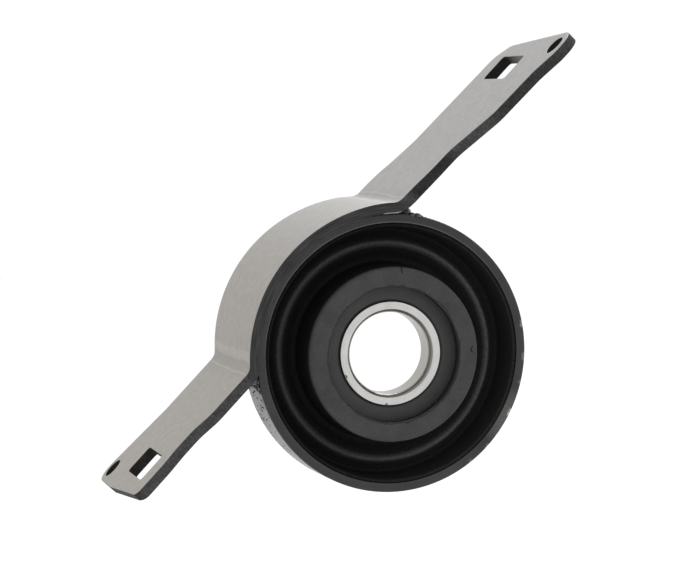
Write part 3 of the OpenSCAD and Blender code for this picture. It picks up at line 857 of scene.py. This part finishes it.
def folded_strap(face, edge, hole):
    """The whole strap: an upper and a lower sheet, and an edge band along the outline and each hole."""
    plan = [strap_outline(), hole_outline(RIGHT_HOLE), hole_outline(LEFT_HOLE),
            window_outline(RIGHT_REACH - RIGHT_WINDOW_X), window_outline(LEFT_WINDOW_X - LEFT_REACH)]
    loops = [along(np.stack([blank(p[:, 0]), p[:, 1]], axis=1), EDGE_STEP) for p in plan]

    def keep(points, margin):
        kept = inside_loop(points, inset(loops[0], margin))
        for loop in loops[1:]:
            kept &= ~inside_loop(points, inset(loop, margin))
        return kept

    flat, triangles = sheet(loops, keep)
    upper = fold(flat[:, 0], flat[:, 1], STRAP_T + 0 * flat[:, 0])
    lower = fold(flat[:, 0], flat[:, 1], 0 * flat[:, 0])
    points = [upper, lower]
    faces = [triangles.tolist(), (triangles[:, ::-1] + len(upper)).tolist()]
    uvs = [flat[triangles].reshape(-1, 2), flat[triangles[:, ::-1]].reshape(-1, 2)]
    indices = [np.zeros(2 * len(triangles))]
    start = 2 * len(upper)
    for i, loop in enumerate(loops):
        band, quads, uv, cut = edge_band(loop)
        points.append(band)
        faces.append((quads + start).tolist())
        uvs.append(uv.reshape(-1, 2))
        indices.append(np.where(cut, 1 if i == 0 else 2, 0))
        start += len(band)
    make_piece("folded_strap", np.concatenate(points), sum(faces, []), [face, edge, hole],
               ["bracket_strap"], indices=np.concatenate(indices), uvs=np.concatenate(uvs))


# Ring and cushion

def ring_band(material):
    """The ring: a slice of tube with worn corners, its wall a turned rectangle with round edges."""
    inside = RING_IN_R - RING_COVER
    corners = mirrored([(inside, -RING_HALF, RING_IN_ROUND), (RING_R, -RING_HALF, RING_OUT_ROUND)])
    points, faces = turned(along(rounded(corners, 6), 1.5), RING_TURNS)
    make_piece("ring_band", askew(points), faces, [material], ["housing_ring"])


def web_front(r):
    """Front face of the web at radius r: a rib between the grooves at both walls, as a squared cosine."""
    inner = HUB_R + WALL_DRAFT
    outer = RING_IN_R - SLEEVE_T - WALL_DRAFT
    rib = (inner + outer) / 2 + RIB_SHIFT
    reach = np.where(r < rib, rib - inner, outer - rib)
    return GROOVE_Y - RIB_H * np.cos(np.pi / 2 * (r - rib) / reach) ** 2


def web_line(shift):
    """The web's face between the hub and the sleeve, shifted along the axis, ending short of both fillets."""
    inner = HUB_R + WALL_DRAFT + GROOVE_FILLET
    outer = RING_IN_R - SLEEVE_T - WALL_DRAFT - GROOVE_FILLET
    r = np.linspace(inner, outer, 36)
    return np.stack([r, web_front(r) + shift], axis=1)


def cushion_profile():
    """Section of the cushion: hub with its lips, web with soft fillets, and the sleeve in the ring."""
    front = web_line(0.0)
    rear = web_line(WEB_T)[::-1]
    inner = HUB_R + WALL_DRAFT
    sleeve = RING_IN_R - SLEEVE_T
    outer = sleeve - WALL_DRAFT
    inner_lean = WALL_DRAFT / (GROOVE_Y - HUB_FRONT)
    outer_lean = WALL_DRAFT / (GROOVE_Y + SLEEVE_END)
    hub_wall = (inner - inner_lean * GROOVE_FILLET, GROOVE_Y - GROOVE_FILLET)
    sleeve_wall = (outer + outer_lean * GROOVE_FILLET, GROOVE_Y - GROOVE_FILLET)
    rear_y = GROOVE_Y + WEB_T
    lip_corner = corner_arc((FRONT_LIP_R, -HALF_W), (FRONT_LIP_R, HUB_FRONT), (HUB_R, HUB_FRONT), LIP_ROUND)
    hub_corner = corner_arc((FRONT_LIP_R, HUB_FRONT), (HUB_R, HUB_FRONT), hub_wall, HUB_ROUND)
    rear_hub = corner_arc(rear[-1], (HUB_R, HUB_REAR), (REAR_LIP_R, HUB_REAR), LIP_ROUND)
    rear_lip = corner_arc((HUB_R, HUB_REAR), (REAR_LIP_R, HUB_REAR), (REAR_LIP_R, HALF_W), LIP_ROUND)
    sleeve_tip = corner_arc(sleeve_wall, (sleeve, -SLEEVE_END), (RING_IN_R, -SLEEVE_END), LIP_ROUND)
    rear_tip = corner_arc((RING_IN_R, SLEEVE_END), (sleeve, SLEEVE_END), (outer, rear_y), REAR_TIP_ROUND)
    return np.concatenate([
        [[BEARING_R, -HALF_W], [FRONT_LIP_R, -HALF_W]], lip_corner, hub_corner,
        soft_corner(hub_wall, (inner, GROOVE_Y), front[0]), front[1:-1],
        soft_corner(front[-1], (outer, GROOVE_Y), sleeve_wall), sleeve_tip,
        [[RING_IN_R, -SLEEVE_END], [RING_IN_R, SLEEVE_END]], rear_tip,
        rear, rear_hub, rear_lip, [[REAR_LIP_R, HALF_W], [BEARING_R, HALF_W]]])


def moulded_cushion(material):
    """The cushion: its section turned round the axis, with an uneven fin of flash round the front opening
    that dies away from the lip as a bell curve. Its sleeve follows the ring askew, its hub doesn't."""
    rng = np.random.default_rng(SEED)
    profile = along(cushion_profile(), 1.2)
    points, faces = turned(profile, CUSHION_TURNS)
    angle = np.linspace(0, 2 * np.pi, CUSHION_TURNS, endpoint=False)
    fin = FIN_H + FIN_H * waves(angle, [3, 7, 11, 19, 37, 61], rng)
    off_lip = (profile - np.array([FRONT_LIP_R, HUB_FRONT])) / FIN_REACH
    shift = fin[:, None] * np.exp(-off_lip[:, 0] ** 2 - off_lip[:, 1] ** 2)[None]
    points[..., 0] -= shift * np.cos(angle)[:, None]
    points[..., 2] -= shift * np.sin(angle)[:, None]
    share = np.clip((profile[:, 0] - HUB_R) / (RING_IN_R - HUB_R), 0, 1)
    make_piece("moulded_cushion", askew(points, share), faces, [material],
               ["rubber_cushion"])


# Bearing

def race_arc(middle, from_y, to_y, outwards):
    """Stretch of a race groove: a circle about (middle, 0) between two places along the axis."""
    y = np.linspace(from_y, to_y, 17)
    return np.stack([middle + outwards * np.sqrt(RACE_R ** 2 - y ** 2), y], axis=1)


def bearing_rings(material):
    """Inner and outer ring: turned sections with their race, seal seats and softly broken corners."""
    inner_edge = math.sqrt(RACE_R ** 2 - (INNER_RACE_MIDDLE - INNER_R) ** 2)
    bore = mirrored([(INNER_R, HALF_W, 0.3), (BORE_R + BORE_CHAMFER, HALF_W, 0.4),
                     (BORE_R, HALF_W - BORE_CHAMFER, BORE_ROUND)])
    inner = np.concatenate([race_arc(INNER_RACE_MIDDLE, -inner_edge, inner_edge, -1), rounded(bore, 6)])
    points, faces = turned(along(inner, 1.0), BEARING_TURNS)
    make_piece("inner_ring", points, faces, [material], ["bearing_inner_ring"], "inner_race")
    outer_edge = math.sqrt(RACE_R ** 2 - (OUTER_LAND_R - OUTER_RACE_MIDDLE) ** 2)
    shell = mirrored([(OUTER_LAND_R, -SEAL_BACK, 0.1), (SEAL_R, -SEAL_BACK, 0), (SEAL_R, -HALF_W, 0.15),
                      (BEARING_R, -HALF_W, 0.8)])
    outer = np.concatenate([race_arc(OUTER_RACE_MIDDLE, outer_edge, -outer_edge, 1), rounded(shell, 6)])
    points, faces = turned(along(outer, 1.0), BEARING_TURNS)
    make_piece("outer_ring", points, faces, [material], ["bearing_outer_ring"])


def seal_disc(material, name, node, facing):
    """A seal: flat disc whose face falls away in a short bevel to the lip close to the inner ring."""
    lip = INNER_R + 0.08
    corners = [(lip, SEAL_BACK, 0.1), (SEAL_R, SEAL_BACK, 0.1), (SEAL_R, SEAL_FACE, 0.25),
               (lip + 0.9, SEAL_FACE, 0.3), (lip, SEAL_FACE - 0.45, 0.1)]
    profile = along(rounded(corners, 5), 0.8)
    profile[:, 1] *= facing
    points, faces = turned(profile, BEARING_TURNS)
    make_piece(name, points, faces, [material], [node])


# Welds

def ray_to_circle(start, direction, middle, radius):
    """Distance along each ray to a circle that it meets from outside, or far away where it misses."""
    offset = start - middle
    across = direction @ offset
    inside = across ** 2 - (offset @ offset - radius ** 2)
    reach = -across - np.sqrt(np.maximum(inside, 0))
    return np.where((inside > 0) & (reach > 0), reach, 1e3)


def weld_seam(material, name, node, side, rng):
    """A weld bead: at each place along the axis a round section, cut off where it meets the ring and the
    strap. Its radius swells in ripples that lag behind at the bead's flanks, and closes at both ends."""
    rows = 96
    columns = 48
    y = np.linspace(-WELD_Y, WELD_Y, rows)
    turn = np.linspace(0, 2 * np.pi, columns, endpoint=False)
    direction = np.stack([np.cos(turn), np.sin(turn)], axis=1)
    start = np.array([WELD_X, WELD_Z])
    to_ring = ray_to_circle(start, direction, np.zeros(2), RING_R)
    to_bend = ray_to_circle(start, direction, np.array([BEND_X, BEND_Z]), BEND_R + STRAP_T)
    rise = np.maximum(direction[:, 1], 1e-6)
    to_arm = np.where(direction[:, 1] > 0, (ARM_H - WELD_Z) / rise, 1e3)
    to_arm = np.where(start[0] + to_arm * direction[:, 0] >= BEND_X, to_arm, 1e3)
    limit = np.minimum(np.minimum(to_ring + WELD_BITE, to_bend), to_arm) + 0.05
    flank = (turn - np.radians(-45) + np.pi) % (2 * np.pi) - np.pi
    phase = y[:, None] / WELD_PITCH + 0.35 * flank[None] ** 2
    ripple = 0.93 + 0.1 * np.abs(np.sin(np.pi * phase)) ** 0.7
    uneven = 1 + 0.05 * waves(y * 0.9, [1, 2, 5], rng)[:, None]
    ending = ((np.abs(y) - WELD_Y + WELD_END) / WELD_END).clip(0)
    closing = np.sqrt(np.clip(1 - ending ** 2, 0.001, 1))[:, None]
    radius = np.minimum(WELD_R * ripple * uneven * closing, limit[None])
    x = start[0] + radius * direction[:, 0]
    z = start[1] + radius * direction[:, 1]
    points = np.stack([side * x, y[:, None] + 0 * x, z], axis=-1)
    faces = grid_faces(rows, columns).tolist()
    faces += [list(range(columns)), list(range((rows - 1) * columns, rows * columns))]
    make_piece(name, points, faces, [material], [node])


def weld_spatter(material, rng):
    """Drops of weld metal on the ring's wall: low mounds, most of them beside each seam and fewer away from
    it, with a toe of large ones at the front of the left seam and a few nubs beside the right one."""
    nubs = np.array(WELD_NUBS)
    count = WELD_DROPS + WELD_TOE + len(nubs)
    index = np.arange(count)
    toe = index < WELD_TOE
    nub = index >= count - len(nubs)
    side = np.where((index % 3 == 0) & ~toe | nub, 1.0, -1.0)
    away = np.where(toe, rng.uniform(-0.02, 0.07, count), rng.exponential(0.22, count).clip(0.02, 0.9))
    seam = np.arctan2(WELD_Z, WELD_X) - np.arcsin(WELD_R / RING_R) * 0.9
    angle = seam - away
    angle[nub] = np.radians(nubs[:, 0])
    out = np.stack([side * np.cos(angle), 0 * angle, np.sin(angle)], axis=1)
    y = rng.uniform(-RING_HALF + 1.2, RING_HALF - 1.2, count)
    y = np.where(toe, rng.uniform(-RING_HALF + 0.9, -RING_HALF + 6.0, count), y)
    y[nub] = nubs[:, 1]
    places = RING_R * out + y[:, None] * np.array([0.0, 1.0, 0.0])
    axis = np.tile([0.0, 1.0, 0.0], (count, 1))
    axes = np.stack([np.cross(axis, out), axis, out], axis=1)
    size = rng.uniform(0.16, 0.46, count) * np.exp(-away) * np.where(toe, 2.4, 1.0)
    size[nub] = nubs[:, 2]
    shape = [np.ones(count), rng.uniform(0.8, 1.6, count), np.full(count, 0.6)]
    sizes = size[:, None] * np.stack(shape, axis=1)
    points, faces = lumps(places, axes, sizes)
    make_piece("weld_spatter", askew(points), faces, [material])


# Stage

def camera_frame():
    """Camera at the photograph's viewing angle: it looks at the bearing centre, which lands on AXIS_PX."""
    back = np.array([math.sin(CAMERA_AZIMUTH) * math.cos(CAMERA_ELEVATION),
                     -math.cos(CAMERA_AZIMUTH) * math.cos(CAMERA_ELEVATION), math.sin(CAMERA_ELEVATION)])
    right = np.cross(-back, [0, 0, 1])
    right /= np.linalg.norm(right)
    up = np.cross(right, -back)
    across = math.cos(CAMERA_ROLL) * right - math.sin(CAMERA_ROLL) * up
    upwards = math.sin(CAMERA_ROLL) * right + math.cos(CAMERA_ROLL) * up
    sight = np.array([(AXIS_PX[0] - FRAME_W / 2) / FOCAL_PX, (FRAME_H / 2 - AXIS_PX[1]) / FOCAL_PX, 1.0])
    ray = sight[0] * across + sight[1] * upwards - sight[2] * back
    place = -ray / np.linalg.norm(ray) * CAMERA_DISTANCE * MM
    return place, across, upwards, back


def camera():
    """The scene's camera, with the photograph's focal length."""
    place, across, upwards, back = camera_frame()
    data = bpy.data.cameras.new("camera")
    data.sensor_width = SENSOR_W
    data.lens = FOCAL_PX * SENSOR_W / FRAME_W
    data.clip_end = 100.0
    made = put("camera", data)
    made.matrix_world = Matrix.Translation(place) @ Matrix(np.stack([across, upwards, back], axis=1)).to_4x4()
    bpy.context.scene.camera = made


def top_light(direction):
    """Square soft light that looks at the bearing centre from a direction."""
    data = bpy.data.lights.new("top_light", "AREA")
    data.size = TOP_LIGHT_SIZE
    data.energy = TOP_LIGHT
    made = put("top_light", data)
    towards = Vector(direction).normalized()
    made.location = towards * TOP_LIGHT_DISTANCE
    made.rotation_euler = towards.to_track_quat("Z", "Y").to_euler()


def surroundings(back):
    """White room round the part: bright at the sides, plain white behind it and dim towards the viewer."""
    world = bpy.data.worlds.new("surroundings")
    world.use_nodes = True
    room = Nodes(world.node_tree)
    facing = room.add("ShaderNodeVectorMath", room.place("Generated"), back, operation="DOT_PRODUCT")
    light = room.ramp(room.span(facing.outputs["Value"], -1.0, 1.0), *ROOM_LIGHT, ease="EASE")
    seen = room.add("ShaderNodeLightPath").outputs["Is Camera Ray"]
    shade = world.node_tree.nodes["Background"]
    room.feed(shade.inputs["Color"], room.mix(seen, light, (1.0, 1.0, 1.0, 1.0)))
    bpy.context.scene.world = world


def studio():
    """Plain pale floor well below the part, white surroundings and a soft light from above."""
    bpy.context.scene.view_settings.view_transform = "Standard"
    _, across, upwards, back = camera_frame()
    surroundings(back)
    paint = Finish("pale_floor", (0.97, 0.97, 0.97), 0.8, specular=0.1)
    mesh = bpy.data.meshes.new("floor")
    corners = [(-FLOOR_REACH, FLOOR_FRONT), (FLOOR_REACH, FLOOR_FRONT), (FLOOR_REACH, FLOOR_REACH),
               (-FLOOR_REACH, FLOOR_REACH)]
    mesh.from_pydata([(x, y, FLOOR_Z) for x, y in corners], [], [(0, 1, 2, 3)])
    mesh.materials.append(paint.material)
    floor = put("floor", mesh)
    top_light(upwards + across * 0.25 - back * 0.35)


plate = blasted_plate()
cut = cut_edge("cut_edge", 1.0)
# Walls of the holes and windows: the cut edge at a lower level, as painted shade.
wall = cut_edge("hole_wall", 0.4)
coat = coated_ring()
weld = weld_bead()
rubber = moulded_rubber()
seal = seal_rubber()
steel = ground_steel()
balls = polished_steel()
cage = pressed_steel()

folded_strap(plate, cut, wall)
ring_band(coat)
moulded_cushion(rubber)
bearing_rings(steel)
seal_disc(seal, "front_seal", "seal_front", -1)
seal_disc(seal, "rear_seal", "seal_rear", 1)
generator = np.random.default_rng(SEED)
weld_seam(weld, "right_weld", "weld_right", 1, generator)
weld_seam(weld, "left_weld", "weld_left", -1, generator)
weld_spatter(weld, generator)
for name, node in frame["nodes"].items():
    finish = balls if name.startswith("ball_") else cage
    if name.startswith(("ball_", "cage_")):
        node.data.materials.clear()
        node.data.materials.append(finish)

camera()
studio()
